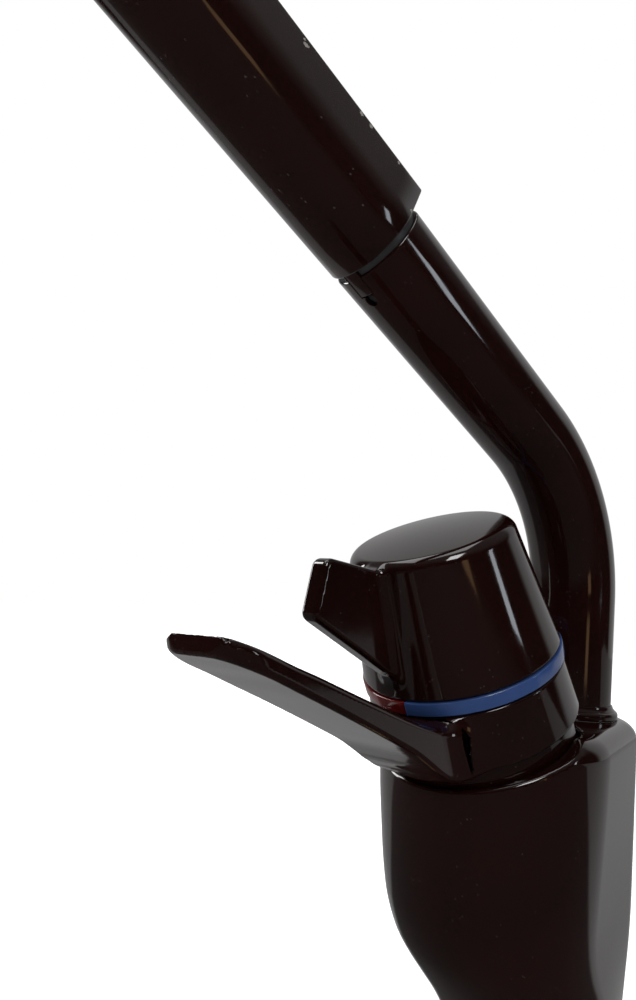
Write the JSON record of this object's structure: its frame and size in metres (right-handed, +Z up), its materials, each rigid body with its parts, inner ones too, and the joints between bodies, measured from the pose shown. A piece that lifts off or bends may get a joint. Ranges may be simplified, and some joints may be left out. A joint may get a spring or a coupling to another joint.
{
  "type": "pull-out faucet",
  "caption": "Pull-out kitchen tap in dark brown gloss enamel with a leaning lever ring for the flow, a finned knob for the temperature and a swivelling spout",
  "frame": {"origin": "centre of the foot on the worktop's top face", "axes": "+Z up, spout points along -Y, +X to the right of someone who looks along +Y"},
  "size_m": [0.0616, 0.2504, 0.373],
  "materials": {
    "enamel": "gloss",
    "red_enamel": "gloss",
    "blue_enamel": "gloss",
    "brass": "machined",
    "steel": "plain",
    "black_plastic": "matt",
    "white_plastic": "matt",
    "rubber": "matt",
    "ceramic": "lapped"
  },
  "bodies": {
    "fixed": {"body_casting": "enamel", "base_gasket": "rubber", "mounting_shank": "brass", "clamp_gasket": "rubber", "clamp_washer": "steel", "mounting_nut": "brass", "valve_base": "white_plastic", "inlet_o_rings": "rubber", "cartridge_housing": "white_plastic", "cartridge_nut": "brass", "fixed_disc": "ceramic", "valve_shroud": "enamel", "index_carrier": "black_plastic", "hot_index": "red_enamel", "cold_index": "blue_enamel", "spout_bush_lower": "white_plastic", "spout_bush_upper": "white_plastic", "slide_washer": "white_plastic", "spout_o_rings": "rubber", "spout_lock_screw": "steel"},
    "spout": {"spout_tube": "enamel", "spout_collar": "enamel", "mouth_liner": "black_plastic"},
    "handset": {"handset_shell": "enamel", "docking_sleeve": "black_plastic", "hose_connector": "brass", "check_valve": "white_plastic", "inlet_filter": "steel", "water_tube": "white_plastic", "nose_cap": "enamel", "nose_screw": "steel", "aerator_housing": "black_plastic", "aerator_insert": "white_plastic", "aerator_seal": "rubber"},
    "lever": {"flow_lever": "enamel", "lever_bush": "white_plastic", "lever_screw": "steel", "flow_driver": "brass", "flow_sleeve": "brass", "driver_o_ring": "rubber", "flow_disc": "ceramic"},
    "knob": {"temperature_knob": "enamel", "knob_insert": "brass", "knob_screw": "steel", "temperature_spindle": "brass", "spindle_o_ring": "rubber", "temperature_disc": "ceramic"}
  },
  "joints": [
    {"name": "spout_swivel", "type": "hinge", "parent": "fixed", "child": "spout", "pos_m": [0, 0.00977, 0.1156], "axis": [0, 0, 1], "range_deg": [-70, 70]},
    {"name": "handset_pull", "type": "slide", "parent": "spout", "child": "handset", "axis": [0, -0.8816, 0.4721], "range_m": [0, 0.4]},
    {"name": "lever_turn", "type": "hinge", "parent": "fixed", "child": "lever", "pos_m": [0, -0.04, 0.13], "axis": [0, -0.4384, 0.8988], "range_deg": [0, 90]},
    {"name": "knob_turn", "type": "hinge", "parent": "fixed", "child": "knob", "pos_m": [0, -0.04, 0.13], "axis": [0, -0.4384, 0.8988], "range_deg": [-65, 65]}
  ]
}
